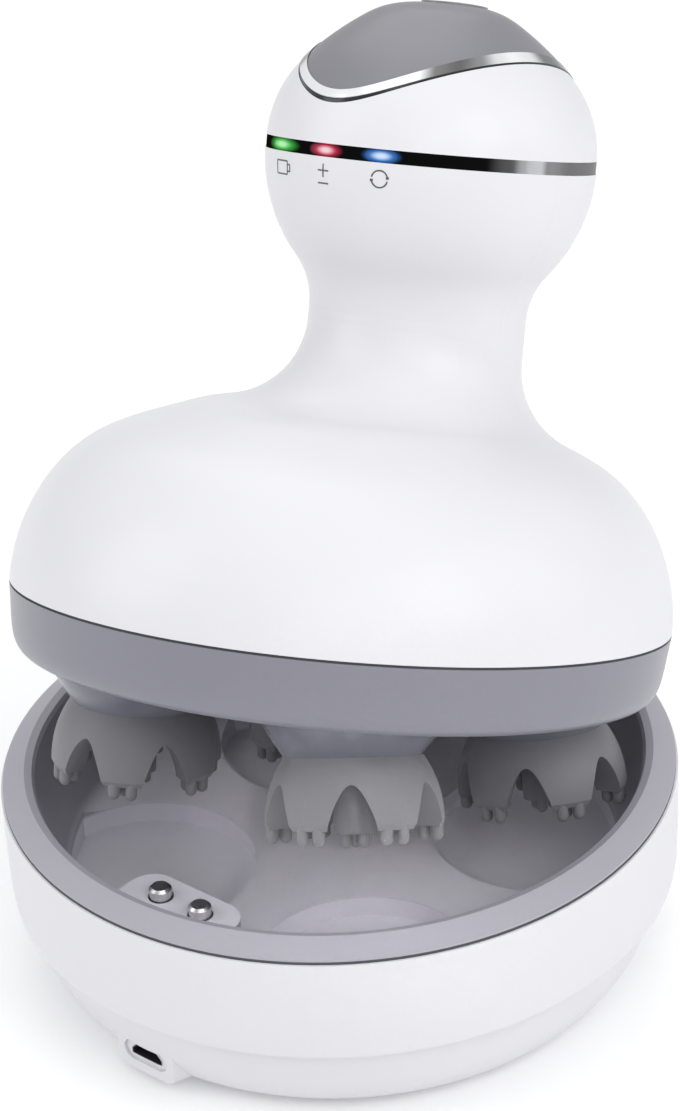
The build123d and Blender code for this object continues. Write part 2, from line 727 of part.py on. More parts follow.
with BuildPart() as claw:
    with BuildSketch(Plane.XZ):
        with BuildLine():
            ThreePointArc((claw_top_radius, 0), (0.96 * claw_radius, -claw_height / 2),
                          (claw_radius, claw_foot + 1))
            Polyline((claw_radius, claw_foot + 1), (claw_radius - 0.6, claw_foot), (claw_inner, claw_foot),
                     (claw_inner, -claw_crown - 3))
            ThreePointArc((claw_inner, -claw_crown - 3), (0.85 * claw_inner, -claw_crown - 1),
                          (0.55 * claw_inner, -claw_crown))
            Polyline((0.55 * claw_inner, -claw_crown), (0, -claw_crown), (0, 0), (claw_top_radius, 0))
        make_face()
    revolve(axis=Axis.Z)
    with BuildSketch(*arch_planes):
        with BuildLine():
            arch = Spline(*[(half * arch_width / 2, claw_foot + rise * arch_height)
                            for half, rise in arch_outline])
            Polyline(arch @ 1, (arch_width / 2, post_foot), (-arch_width / 2, post_foot), arch @ 0)
        make_face()
    extrude(amount=2 * claw_radius, mode=Mode.SUBTRACT)
    add(post_row(post_foot, -claw_crown - post_foot + 1, post_radius, [(0, 0)]))
    add(nubs(nub_places, nub_radius, claw_foot))
    add(nubs(post_nub_places, post_nub_radius, post_foot))
    with BuildSketch(Plane.XY):
        Circle(plug_radius + fit)
    extrude(amount=-plug_length - fit, mode=Mode.SUBTRACT)

hub_top = lower_plate - 2 * slack
spindle_top = upper_plate + plate_thickness
for head, (x, y, _) in head_places.items():
    direction = -90 + head_azimuths[head]
    phase = meshing_phase(direction, 0, centre_teeth, head_teeth)
    gear = spur_gear(head_teeth, head_module, gear_width, shaft_radius, (x, y, gear_level), phase)
    save(gear, f"gear_{head}", massager_frame)

    joint = claw_plane(head)
    middle = (Vector(x, y, -case_depth) + joint.origin) / 2
    waist = Plane(origin=middle, z_dir=joint.z_dir + Vector(0, 0, 1))
    with BuildPart() as hub:
        add(post_row(-case_depth, hub_top + case_depth, hub_radius, [(x, y)]))
        with BuildSketch(Plane(origin=(x, y, -case_depth))):
            Circle(hub_radius)
        with BuildSketch(waist):
            Circle(hub_waist)
        with BuildSketch(joint):
            Circle(claw_top_radius)
        loft()
        with BuildSketch(joint):
            Circle(plug_radius)
        extrude(amount=-plug_length)
        add(post_row(hub_top, spindle_top - hub_top, shaft_radius, [(x, y)]))
    save(hub, f"hub_{head}", massager_frame)

    with BuildPart() as placed_claw:
        add(claw.part.moved(joint.location))
    save(placed_claw, f"claw_{head}", massager_frame)


# ================================================================ dock: shell
def dock_form(inset, level):
    """Solid of the dock's bowl from a level up to the liner seat, drawn in by inset."""
    top = liner_seat - dock_seal_thickness
    span = dock_radius - inset - dock_foot_radius
    with BuildPart() as form:
        with BuildSketch(Plane.XZ):
            with BuildLine():
                side = Spline(*[(dock_foot_radius + span * u, level + (top - level) * v)
                                for u, v in dock_outline], tangents=((1, 0), (0, 1)))
                Polyline(side @ 1, (0, top), (0, level), side @ 0)
            make_face()
        revolve(axis=Axis.Z)
    return form.part


port_middle = port_foot + port_height / 2
with BuildPart() as port_boss:
    with BuildSketch(Plane.XZ.offset(port_face)):
        with Locations((0, port_middle)):
            RectangleRounded(port_width, port_height, 2.0)
    with BuildSketch(Plane.XZ.offset(dock_foot_radius)):
        with Locations((0, port_middle + port_flare / 2)):
            RectangleRounded(port_width + 2 * port_flare, port_height + port_flare, 4.0)
    loft()

with BuildPart() as dock_shell:
    add(dock_form(0, base_level))
    add(port_boss.part)
    add(dock_form(dock_wall, ledge_level + ledge_thickness), mode=Mode.SUBTRACT)
    with BuildSketch(Plane.XY.offset(base_level)):
        Circle(base_radius + fit)
    extrude(amount=base_thickness, mode=Mode.SUBTRACT)
    with BuildSketch(Plane.XY.offset(base_level)):
        Circle(base_radius - ledge_width)
    extrude(amount=dock_height / 2, mode=Mode.SUBTRACT)
    with BuildSketch(Plane.XZ.offset(port_face)):
        with Locations((0, port_level)):
            SlotOverall(port_mouth, socket_height + 1.8)
    extrude(amount=-port_mouth_depth, mode=Mode.SUBTRACT)
    with BuildSketch(Plane.XZ.offset(port_face)):
        with Locations((0, port_level)):
            Rectangle(socket_width + 2 * fit, socket_height + 2 * fit)
    extrude(amount=base_radius - port_face - ledge_width, mode=Mode.SUBTRACT)
save(dock_shell, "dock_shell")

with BuildPart() as dock_seal:
    with BuildSketch(Plane.XY.offset(liner_seat - dock_seal_thickness)):
        Circle(dock_radius - seal_recess)
        Circle(dock_radius - dock_wall + fit, mode=Mode.SUBTRACT)
    extrude(amount=dock_seal_thickness)
save(dock_seal, "dock_seal")

# ================================================================ dock: liner
pocket_places = [place(azimuth, pocket_circle) for azimuth in head_azimuths.values()]
liner_foot = bowl_floor - liner_wall
pocket_floor = bowl_floor - pocket_depth
cup_foot = pocket_floor - liner_wall
liner_posts = [place(quarter * 90, base_screw_circle) for quarter in range(4)]
post_foot_level = ledge_level + base_boss_height

with BuildPart() as bowl_space:
    with BuildSketch(Plane.XZ):
        with BuildLine():
            Polyline((0, bowl_floor), (bowl_foot_radius, bowl_floor),
                     (bowl_top_radius, rim_level - lip_drop - lip_height),
                     (rim_radius - rim_lip, rim_level - lip_drop), (rim_radius, rim_level),
                     (rim_radius, rim_level + 1), (0, rim_level + 1), close=True)
        make_face()
    revolve(axis=Axis.Z)
    fillet(bowl_space.edges().filter_by(GeomType.CIRCLE).sort_by(Axis.Z)[0], bowl_corner)

with BuildPart() as liner_body:
    with BuildSketch(Plane.XZ):
        with BuildLine():
            Polyline((0, liner_foot), (bowl_foot_radius + liner_wall, liner_foot),
                     (bowl_top_radius + liner_wall, liner_seat), (dock_radius - seal_recess, liner_seat),
                     (dock_radius - seal_recess, liner_seat + seal_recess), (rim_radius, rim_level),
                     (0, rim_level), close=True)
        make_face()
    revolve(axis=Axis.Z)
    fillet(liner_body.edges().filter_by(GeomType.CIRCLE).sort_by(Axis.Z)[0], bowl_corner + liner_wall)


def pocket_row(foot, top, grow):
    """Round pockets under the heads, kept inside the bowl's wall."""
    with BuildPart() as row:
        with BuildSketch(Plane.XY.offset(foot)):
            with Locations(*pocket_places):
                Circle(pocket_radius + grow)
        extrude(amount=top - foot)
        with BuildSketch(Plane.XY.offset(foot)):
            Circle(bowl_foot_radius - 1 + grow)
        extrude(amount=top - foot, mode=Mode.INTERSECT)
    return row.part


def stage_block(shrink, foot, top):
    """Block of the contact stage, rounded at its inner corners, running out to the wall."""
    with BuildPart() as block:
        with BuildSketch(Plane.XY.offset(foot)):
            with Locations((0, -stage_front - shrink)):
                RectangleRounded(stage_width - 2 * shrink, 2 * stage_front, stage_corner - shrink,
                                 align=(Align.CENTER, Align.MAX))
        extrude(amount=top - foot)
    return block.part


with BuildPart() as stage:
    add(stage_block(0, liner_foot, stage_top))
    add(liner_body.part, mode=Mode.INTERSECT)

with BuildPart() as stage_hollow:
    add(stage_block(liner_wall, cup_foot, stage_ceiling))
    with BuildSketch(Plane.XY.offset(cup_foot)):
        Circle(bowl_foot_radius)
    extrude(amount=stage_ceiling - cup_foot, mode=Mode.INTERSECT)

with BuildPart() as dock_liner:
    add(liner_body.part)
    add(bowl_space.part, mode=Mode.SUBTRACT)
    add(pocket_row(cup_foot, bowl_floor, liner_wall))
    add(pocket_row(pocket_floor, bowl_floor + bowl_corner, 0), mode=Mode.SUBTRACT)
    add(stage.part)
    add(post_row(post_foot_level, liner_foot - post_foot_level + liner_wall / 2, boss_radius, liner_posts))
    add(stage_hollow.part, mode=Mode.SUBTRACT)
    add(post_row(stage_ceiling - 1, 2 * liner_wall, pin_radius + slack, contact_places), mode=Mode.SUBTRACT)
    add(post_row(post_foot_level, screw_length - 2, screw_radius + fit, liner_posts), mode=Mode.SUBTRACT)
save(dock_liner, "dock_liner")

# ================================================================ dock: base
usb_board_middle = base_radius - ledge_width
board_post_reach = usb_board_width / 2 + board_post_side
board_post_places = [(side * board_post_reach, board_post_back - pin_circle) for side in (-1, 1)]
usb_post_places = [(side * usb_board_width / 3, usb_board_depth / 4 - usb_board_middle) for side in (-1, 1)]
usb_board_level = port_level + socket_height / 2
with BuildPart() as base_plate:
    add(post_row(base_level, base_thickness, base_radius, [(0, 0)]))
    add(post_row(base_level, post_foot_level - base_level, boss_radius + slack, liner_posts))
    add(post_row(base_level, contact_board_level - base_level, board_post, board_post_places))
    add(post_row(base_level, usb_board_level - base_level, board_post, usb_post_places))
    add(post_row(0, pad_thickness, pad_radius + fit, [(0, 0)]), mode=Mode.SUBTRACT)
    add(post_row(0, ledge_level, screw_head_radius + slack, liner_posts), mode=Mode.SUBTRACT)
    add(post_row(0, post_foot_level, screw_radius + fit, liner_posts), mode=Mode.SUBTRACT)
save(base_plate, "base_plate")

with BuildPart() as anti_slip_pad:
    add(post_row(0, pad_thickness, pad_radius, [(0, 0)]))
save(anti_slip_pad, "anti_slip_pad")

with BuildPart() as base_screws:
    add(post_row(ledge_level - screw_head_height, screw_head_height, screw_head_radius, liner_posts))
    add(post_row(ledge_level, base_boss_height + screw_length - 4, screw_radius, liner_posts))
    with BuildSketch(Plane.XY.offset(ledge_level - screw_head_height)):
        with Locations(*liner_posts):
            Rectangle(1.2 * screw_head_radius, 0.25 * screw_head_radius)
            Rectangle(0.25 * screw_head_radius, 1.2 * screw_head_radius)
    extrude(amount=screw_head_height / 2, mode=Mode.SUBTRACT)
save(base_screws, "base_screws")

# ================================================================ dock: charging electronics
socket_face = -port_face + port_mouth_depth
with BuildPart() as usb_board:
    with BuildSketch(Plane.XY.offset(usb_board_level)):
        with Locations((0, -usb_board_middle)):
            Rectangle(usb_board_width, usb_board_depth)
    extrude(amount=board_thickness)
save(usb_board, "usb_board")

with BuildPart() as usb_receptacle:
    with BuildSketch(Plane.XZ.offset(-socket_face)):
        with Locations((0, port_level)):
            RectangleRounded(socket_width, socket_height, 2 * socket_skin)
            RectangleRounded(socket_width - 2 * socket_skin, socket_height - 2 * socket_skin, socket_skin,
                             mode=Mode.SUBTRACT)
    extrude(amount=-socket_depth)
    with BuildSketch(Plane.XZ.offset(-socket_face - socket_depth)):
        with Locations((0, port_level)):
            RectangleRounded(socket_width, socket_height, 2 * socket_skin)
    extrude(amount=-socket_back)
save(usb_receptacle, "usb_receptacle")

with BuildPart() as usb_tongue:
    with BuildSketch(Plane.XZ.offset(-socket_face - tongue_sink)):
        with Locations((0, port_level + socket_skin)):
            Rectangle(socket_width - 2 * tongue_side, tongue_thickness)
    extrude(amount=tongue_sink - socket_depth)
save(usb_tongue, "usb_tongue")

with BuildPart() as contact_board:
    with BuildSketch(Plane.XY.offset(contact_board_level)):
        with Locations((0, -pin_circle)):
            Rectangle(contact_board_width, contact_board_depth)
    extrude(amount=board_thickness)
save(contact_board, "contact_board")

flange_top = stage_ceiling - fit
flange_foot = flange_top - pin_flange
carrier_foot = contact_board_level + board_thickness
carrier_top = flange_foot - pin_travel - slack
carrier_middle = stage_front + liner_wall + slack + carrier_depth / 2
with BuildPart() as pin_carrier:
    with BuildSketch(Plane.XY.offset(carrier_foot)):
        with Locations((0, -carrier_middle)):
            RectangleRounded(carrier_width, carrier_depth, 1.0)
    extrude(amount=carrier_top - carrier_foot)
    add(post_row(spring_foot, carrier_top - spring_foot, pin_radius + slack, contact_places),
        mode=Mode.SUBTRACT)
save(pin_carrier, "pin_carrier")

pin_labels = ("charge_pin_left", "charge_pin_right")
for label, spot in zip(pin_labels, contact_places):
    with BuildPart() as charge_pin:
        add(post_row(flange_foot, pin_top - flange_foot, pin_radius, [spot]))
        chamfer(charge_pin.edges().sort_by(Axis.Z)[-1], 0.5)
        add(post_row(flange_foot, pin_flange, pin_radius + pin_flange_width, [spot]))
        add(post_row(flange_foot - pin_tail, pin_tail, pin_radius / 2, [spot]))
    save(charge_pin, label)

coil_radius = pin_radius - 2 * spring_wire
coil_height = flange_foot - spring_foot - 2 * spring_wire
spring_labels = ("contact_spring_left", "contact_spring_right")
for label, (x, y) in zip(spring_labels, contact_places):
    with BuildLine(Plane(origin=(x, y, spring_foot + spring_wire))) as coil:
        Helix(pitch=coil_height / spring_turns, height=coil_height, radius=coil_radius)
    with BuildPart() as contact_spring:
        with BuildSketch(Plane(origin=coil.line @ 0, z_dir=coil.line % 0)):
            Circle(spring_wire)
        sweep(path=coil.line)
    save(contact_spring, label)
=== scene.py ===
"""Looks of the electric scalp massager leaning in its charging dock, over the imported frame."""
import json
from math import cos, pi, radians, sin, sqrt

import bmesh
import bpy
from mathutils import Matrix, Vector


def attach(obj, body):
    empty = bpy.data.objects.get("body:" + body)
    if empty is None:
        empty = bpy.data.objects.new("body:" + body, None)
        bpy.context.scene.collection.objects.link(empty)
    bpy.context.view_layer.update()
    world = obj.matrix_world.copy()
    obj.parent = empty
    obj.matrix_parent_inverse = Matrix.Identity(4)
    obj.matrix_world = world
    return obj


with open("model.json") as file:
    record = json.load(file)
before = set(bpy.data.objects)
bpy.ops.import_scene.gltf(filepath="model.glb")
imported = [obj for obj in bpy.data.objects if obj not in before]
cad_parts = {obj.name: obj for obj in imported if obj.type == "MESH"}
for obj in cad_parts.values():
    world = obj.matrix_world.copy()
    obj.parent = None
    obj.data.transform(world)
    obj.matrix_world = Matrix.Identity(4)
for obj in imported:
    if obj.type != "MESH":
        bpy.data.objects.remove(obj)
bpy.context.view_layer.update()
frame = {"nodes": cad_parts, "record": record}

MM = 0.001

# ---------------------------------------------------------------- frame of the massager
MASSAGER_TURN = -2.2    # turn about its own axis, in degrees
GRIP_SETBACK = 14.9     # from the massager's axis back to the middle of the ball, in mm
BALL_RADIUS = 30.8
BALL_LEVEL = 82.65
BAND_LEVEL = 83.45
LIGHT_SPREAD = 22.8     # degrees from the middle light to its neighbours

joints = {joint["name"]: joint for joint in frame["record"]["behaviour"]["joints"]}
upright = Vector(joints["centre_drive_turn"]["axis"]).normalized()
middle = Vector(joints["centre_drive_turn"]["pos_m"])
lean = Vector((0, 0, 1)).rotation_difference(upright).to_matrix().to_4x4()
lean = Matrix.Translation(middle) @ lean @ Matrix.Rotation(radians(MASSAGER_TURN), 4, "Z")
SIDEWAYS, BACKWARDS, UPWARDS = (lean.to_3x3() @ Vector(v) for v in ((1, 0, 0), (0, 1, 0), (0, 0, 1)))


def on_body(x, y, z):
    """World place of a point given in the massager's own millimetres."""
    return lean @ Vector((x * MM, y * MM, z * MM))


def on_ball(azimuth, level, proud=0.0):
    """World place on the ball of the grip, azimuth in degrees from the front towards +X."""
    reach = sqrt(max(BALL_RADIUS**2 - (level - BALL_LEVEL)**2, 0.0)) + proud
    a = radians(azimuth)
    return on_body(reach * sin(a), GRIP_SETBACK - reach * cos(a), level)


# ---------------------------------------------------------------- camera
CAMERA_AZIMUTH, CAMERA_ELEVATION, CAMERA_ROLL = 41.0, 30.65, -3.22
CAMERA_DISTANCE = 0.650
CAMERA_TARGET = (1.82, 1.58, 84.46)
SENSOR_SIZE = 36.0
FOCAL_PIXELS = 3547.4
PHOTO_HEIGHT = 1111.0


def aim_camera():
    azimuth, elevation, roll = radians(CAMERA_AZIMUTH), radians(CAMERA_ELEVATION), radians(CAMERA_ROLL)
    back = Vector((sin(azimuth) * cos(elevation), -cos(azimuth) * cos(elevation), sin(elevation)))
    right = Vector((cos(azimuth), sin(azimuth), 0.0))
    up = back.cross(right)
    side = right * cos(roll) + up * sin(roll)
    top = up * cos(roll) - right * sin(roll)
    data = bpy.data.cameras.new("camera")
    data.sensor_width = SENSOR_SIZE
    data.lens = SENSOR_SIZE * FOCAL_PIXELS / PHOTO_HEIGHT
    data.clip_start, data.clip_end = 0.05, 20.0
    camera = bpy.data.objects.new("camera", data)
    turn = Matrix((side, top, back)).transposed().to_4x4()
    camera.matrix_world = Matrix.Translation(Vector(CAMERA_TARGET) * MM + back * CAMERA_DISTANCE) @ turn
    bpy.context.scene.collection.objects.link(camera)
    bpy.context.scene.camera = camera


aim_camera()


# ---------------------------------------------------------------- materials
MIX_FIRST, MIX_SECOND, MIX_RESULT = 6, 7, 2    # the colour sockets of a mix node


class Nodes:
    """A material's node tree with short calls for adding and joining nodes."""

    def __init__(self, name):
        self.material = bpy.data.materials.new(name)
        self.material.use_nodes = True
        self.tree = self.material.node_tree
        self.shader = self.tree.nodes["Principled BSDF"]
        self.place = self.add("ShaderNodeTexCoord").outputs["Object"]

    def add(self, kind, **settings):
        node = self.tree.nodes.new(kind)
        for key, value in settings.items():
            setattr(node, key, value)
        return node

    def join(self, source, target):
        self.tree.links.new(source, target)

    def feed(self, target, value):
        """Join a socket to a target, or set the target to a fixed value."""
        if isinstance(value, bpy.types.NodeSocket):
            self.join(value, target)
        else:
            target.default_value = value

    def noise(self, scale, detail=2.0, roughness=0.5):
        node = self.add("ShaderNodeTexNoise")
        node.inputs["Scale"].default_value = scale
        node.inputs["Detail"].default_value = detail
        node.inputs["Roughness"].default_value = roughness
        self.join(self.place, node.inputs["Vector"])
        return node.outputs["Fac"]

    def number(self, operation, first, second=None):
        node = self.add("ShaderNodeMath", operation=operation)
        self.feed(node.inputs[0], first)
        if second is not None:
            self.feed(node.inputs[1], second)
        return node.outputs["Value"]

    def vector(self, operation, first, second=None):
        node = self.add("ShaderNodeVectorMath", operation=operation)
        self.feed(node.inputs[0], first)
        if operation == "SCALE":
            self.feed(node.inputs["Scale"], second)
        elif second is not None:
            self.feed(node.inputs[1], second)
        return node.outputs["Value" if operation in ("DOT_PRODUCT", "LENGTH") else "Vector"]

    def along(self, source, direction):
        """How far a vector reaches along a direction."""
        return self.vector("DOT_PRODUCT", source, direction)

    def ramp(self, source, low, high, stops=(0.3, 0.7), smooth=False):
        node = self.add("ShaderNodeMapRange", interpolation_type="SMOOTHSTEP" if smooth else "LINEAR")
        node.inputs["From Min"].default_value, node.inputs["From Max"].default_value = stops
        node.inputs["To Min"].default_value, node.inputs["To Max"].default_value = low, high
        self.join(source, node.inputs["Value"])
        return node.outputs["Result"]

    def blend(self, share, first, second):
        """Mix of two colours, each a socket or three numbers."""
        node = self.add("ShaderNodeMix", data_type="RGBA")
        for place, colour in ((MIX_FIRST, first), (MIX_SECOND, second)):
            self.feed(node.inputs[place], (*colour, 1) if isinstance(colour, tuple) else colour)
        self.join(share, node.inputs[0])
        return node.outputs[MIX_RESULT]

    def bump(self, source, depth, strength=1.0):
        node = self.add("ShaderNodeBump")
        node.inputs["Strength"].default_value = strength
        node.inputs["Distance"].default_value = depth
        self.join(source, node.inputs["Height"])
        self.join(node.outputs["Normal"], self.shader.inputs["Normal"])

    def set(self, **values):
        """Fixed values of the shader's own sockets, with _ for a blank in a socket's name."""
        for name, value in values.items():
            self.shader.inputs[name.replace("_", " ")].default_value = value


def moulded(name, colour, rough, grain=2500.0, depth=0.000015, tint=0.03, coat=0.0, specular=0.5, spread=0.05):
    """Moulded surface: slow colour drift, uneven gloss and a fine grain."""
    n = Nodes(name)
    drift = n.ramp(n.noise(45.0, 3.0), 0.0, 1.0)
    dark = tuple(max(c * (1 - tint), 0) for c in colour)
    light = tuple(min(c * (1 + tint), 1) for c in colour)
    n.join(n.blend(drift, dark, light), n.shader.inputs["Base Color"])
    n.join(n.ramp(n.noise(160.0, 4.0), rough - spread, rough + spread), n.shader.inputs["Roughness"])
    n.bump(n.noise(grain, 2.0), depth, 0.35)
    n.set(Coat_Weight=coat, Coat_Roughness=0.12, Specular_IOR_Level=specular)
    return n


def turned(name, colour, rough, rings=2200.0):
    """Metal with fine machining rings."""
    n = Nodes(name)
    wave = n.add("ShaderNodeTexWave", wave_type="RINGS", rings_direction="Z")
    wave.inputs["Scale"].default_value = rings
    wave.inputs["Distortion"].default_value = 1.5
    n.join(n.place, wave.inputs["Vector"])
    tone = n.ramp(n.noise(300.0, 3.0), 0.0, 1.0)
    n.join(n.blend(tone, tuple(c * 0.86 for c in colour), colour), n.shader.inputs["Base Color"])
    n.join(n.ramp(n.noise(700.0, 3.0), rough - 0.06, rough + 0.08), n.shader.inputs["Roughness"])
    n.bump(wave.outputs["Fac"], 0.000006, 0.25)
    n.set(Metallic=1.0)
    return n


def silicone(name, colour):
    """Matte silicone with a powdery skin."""
    n = moulded(name, colour, 0.55, grain=1800.0, depth=0.00003, tint=0.05, specular=0.35)
    n.set(Sheen_Weight=0.12, Sheen_Roughness=0.5)
    return n


# each light: azimuth of its glow, how wide it is, colour of the glow, colour of its bright core
LIGHTS = {"light_battery": (-LIGHT_SPREAD, 1.6, (0.045, 0.40, 0.050), (0.42, 0.90, 0.42)),
          "light_power": (1.5, 1.0, (0.51, 0.026, 0.075), (0.92, 0.62, 0.66)),
          "light_direction": (LIGHT_SPREAD, 1.0, (0.030, 0.17, 0.55), (0.62, 0.78, 0.98))}
GLOW_REACH = 0.0042
GLOW_FLATNESS = 2.6
CORE_FROM, CORE_TO, FADE_FROM = 0.10, 0.60, 0.40    # shares of the glow's reach


def glow(n, label):
    """Colour of one light's glow: a flat ellipse round the middle of its lens, with a bright core."""
    azimuth, width, colour, core_colour = LIGHTS[label]
    span = GLOW_REACH * width
    away = n.vector("SUBTRACT", n.place, on_ball(azimuth, BAND_LEVEL))
    level = n.along(away, UPWARDS * (GLOW_FLATNESS * width - 1))
    gap = n.vector("LENGTH", n.vector("ADD", away, n.vector("SCALE", UPWARDS, level)))
    core = n.ramp(gap, 1.0, 0.0, (CORE_FROM * span, CORE_TO * span), smooth=True)
    fade = n.ramp(gap, 1.0, 0.0, (FADE_FROM * span, span), smooth=True)
    return n.vector("SCALE", n.blend(core, colour, core_colour), fade)


def lamp(label):
    """Smoked lens with its light behind it."""
    n = Nodes(f"lens_{label}")
    smoke = n.ramp(n.noise(300.0), 0.0, 1.0)
    n.join(n.blend(smoke, (0.012, 0.012, 0.014), (0.020, 0.020, 0.022)), n.shader.inputs["Base Color"])
    n.join(glow(n, label), n.shader.inputs["Emission Color"])
    n.join(n.ramp(n.noise(900.0), 0.12, 0.20), n.shader.inputs["Roughness"])
    n.set(Emission_Strength=1.0, Specular_IOR_Level=0.0)
    return n


# degrees round the grip from the front, and the tone there: painted highlights and reflections, apart from the
# band's own black at its front
BAND_HIGHLIGHT_TONES = [(0, 0.004), (58, 0.004), (67, 0.10), (72, 0.70), (75, 0.92), (79, 0.85), (83, 0.26), (95, 0.15),
              (122, 0.09), (135, 0.03)]
TRIM_REFLECTION_TONES = [(0, 0.90), (30, 0.92), (39, 0.16), (48, 0.10), (58, 0.28), (68, 0.80), (76, 0.95), (88, 0.85),
              (100, 0.20), (118, 0.10), (180, 0.50)]
HALF_TURN = 180
COOL = 1.01


def painted_reflection_round_grip(n, away, stops):
    """Grey tone of a painted reflection by the angle round the grip from the front, the same on both sides."""
    side = n.number("ABSOLUTE", n.along(away, SIDEWAYS))
    angle = n.number("ARCTAN2", side, n.along(away, -BACKWARDS))
    reflection_tones = n.add("ShaderNodeValToRGB")
    reflection_tones.color_ramp.interpolation = "EASE"
    elements = reflection_tones.color_ramp.elements
    while len(elements) < len(stops):
        elements.new(0.5)
    for element, (turn, tone) in zip(elements, stops):
        element.position = turn / HALF_TURN
        element.color = (tone, tone, tone * COOL, 1)
    n.join(n.ramp(angle, 0.0, 1.0, (0.0, pi)), reflection_tones.inputs["Fac"])
    return reflection_tones.outputs["Color"]


def away_from_grip(n):
    """Vector from the middle of the grip, at the band's level."""
    return n.vector("SUBTRACT", n.place, on_body(0, GRIP_SETBACK, BAND_LEVEL))


def band_painted_glow_and_highlight():
    """Piano black with the painted glow of the three lights, and a painted highlight of pale metal at its sides.
    """
    n = Nodes("piano_black_painted_light")
    reflection_tones = painted_reflection_round_grip(n, away_from_grip(n), BAND_HIGHLIGHT_TONES)
    n.join(reflection_tones, n.shader.inputs["Base Color"])
    # where the painted highlight is bright the band also turns metallic
    n.join(n.ramp(reflection_tones, 0.0, 1.0, (0.02, 0.20)), n.shader.inputs["Metallic"])
    n.join(n.ramp(n.noise(220.0, 4.0), 0.10, 0.16), n.shader.inputs["Roughness"])
    n.bump(n.noise(1500.0), 0.000001, 0.2)
    # the glow round each light is painted on the band as emission, though the band is no lamp
    first, second, third = (glow(n, label) for label in LIGHTS)
    n.join(n.vector("ADD", n.vector("ADD", first, second), third), n.shader.inputs["Emission Color"])
    n.set(Emission_Strength=1.0, Specular_IOR_Level=0.0)
    return n


TRIM_HALF_WIDTH = 22.5
TRIM_HALF_LENGTH = 29.2
TRIM_EDGE = (0.9955, 0.9980)    # shares of the trim's half width and length where its dark line begins


def trim():
    """Polished metal with painted reflections in long bright and dark runs, and a dark line along its outer
    edge.
    """
    n = Nodes("trim_chrome")
    away = away_from_grip(n)
    across = n.add("ShaderNodeCombineXYZ")
    n.join(n.along(away, SIDEWAYS / (TRIM_HALF_WIDTH * MM)), across.inputs["X"])
    n.join(n.along(away, BACKWARDS / (TRIM_HALF_LENGTH * MM)), across.inputs["Y"])
    edge = n.ramp(n.vector("LENGTH", across.outputs["Vector"]), 0.0, 1.0, TRIM_EDGE)
    # the grey tones round the grip are painted reflections, with the dark edge line laid over them
    shade = n.blend(edge, painted_reflection_round_grip(n, away, TRIM_REFLECTION_TONES), (0.03, 0.03, 0.035))
    n.join(shade, n.shader.inputs["Base Color"])
    n.join(n.ramp(n.noise(400.0, 3.0), 0.14, 0.22), n.shader.inputs["Roughness"])
    n.bump(n.noise(2500.0), 0.000001, 0.2)
    n.set(Metallic=0.35)
    return n


LINER_WALL = (0.40, 0.391, 0.438)
# the lighter grey below is a lit copy of the liner: painted light for the bowl's floor, upward faces and pockets
LINER_PAINTED_LIGHT = (0.80, 0.785, 0.845)
LINER_RIM = (0.40, 0.39, 0.435)
POCKET_TOP = (0.0192, 0.0200)    # levels, in metres, between which one look gives way to the next
FLOOR_TOP = (0.034, 0.040)
RIM_FOOT = (0.036, 0.041)
LIGHT_FACING_UP = (0.55, 0.98)


def bowl_liner():
    """Satin lavender grey, with painted light that makes it lighter in the pockets and on faces that look up
    inside the bowl.
    """
    n = moulded("liner_grey", LINER_RIM, 0.40, tint=0.012, depth=0.000004, spread=0.02)
    facing = n.along(n.add("ShaderNodeNewGeometry").outputs["Normal"], Vector((0, 0, 1)))
    level = n.along(n.place, Vector((0, 0, 1)))
    # painted light: faces looking up inside the bowl and the pocket walls take the lighter grey
    upward = n.ramp(facing, 0.0, 1.0, LIGHT_FACING_UP, smooth=True)
    inside = n.number("MULTIPLY", upward, n.ramp(level, 1.0, 0.0, FLOOR_TOP))
    light = n.number("MAXIMUM", inside, n.ramp(level, 1.0, 0.0, POCKET_TOP))
    shade = n.blend(n.ramp(level, 0.0, 1.0, RIM_FOOT), n.blend(light, LINER_WALL, LINER_PAINTED_LIGHT), LINER_RIM)
    n.join(shade, n.shader.inputs["Base Color"])
    return n


def board():
    """Printed circuit board: green resist with darker copper tracks under it."""
    n = Nodes("circuit_board")
    brick = n.add("ShaderNodeTexBrick")
    brick.inputs["Scale"].default_value = 260.0
    brick.inputs["Mortar Size"].default_value = 0.03
    brick.inputs["Color1"].default_value = (0.012, 0.13, 0.05, 1)
    brick.inputs["Color2"].default_value = (0.018, 0.17, 0.07, 1)
    brick.inputs["Mortar"].default_value = (0.03, 0.30, 0.12, 1)
    n.join(n.place, brick.inputs["Vector"])
    n.join(brick.outputs["Color"], n.shader.inputs["Base Color"])
    n.join(n.ramp(n.noise(400.0), 0.30, 0.42), n.shader.inputs["Roughness"])
    n.bump(brick.outputs["Fac"], 0.00002, 0.4)
    return n


FINE = {"tint": 0.015, "depth": 0.000004, "spread": 0.02}
WHITE = moulded("white_shell", (0.715, 0.712, 0.735), 0.38, tint=0.004, coat=0.04, depth=0.000003, specular=0.4,
                spread=0.012)
CASE = moulded("case_grey", (0.222, 0.218, 0.255), 0.33, tint=0.008, depth=0.000003, spread=0.008)
LINER = bowl_liner()
HUB = moulded("hub_lavender", (0.165, 0.165, 0.200), 0.24, tint=0.02, coat=0.25, depth=0.000003, spread=0.02)
CLAW = silicone("claw_silicone", (0.205, 0.202, 0.216))
SEAL = moulded("seal_dark", (0.060, 0.060, 0.072), 0.6, tint=0.10, depth=0.00003)
PANEL = moulded("panel_grey", (0.212, 0.210, 0.233), 0.36, **FINE)
BUTTON = moulded("button_grey", (0.232, 0.230, 0.254), 0.32, **FINE)
TRIM = trim()
GEAR = moulded("gear_acetal", (0.80, 0.77, 0.66), 0.38, tint=0.03)
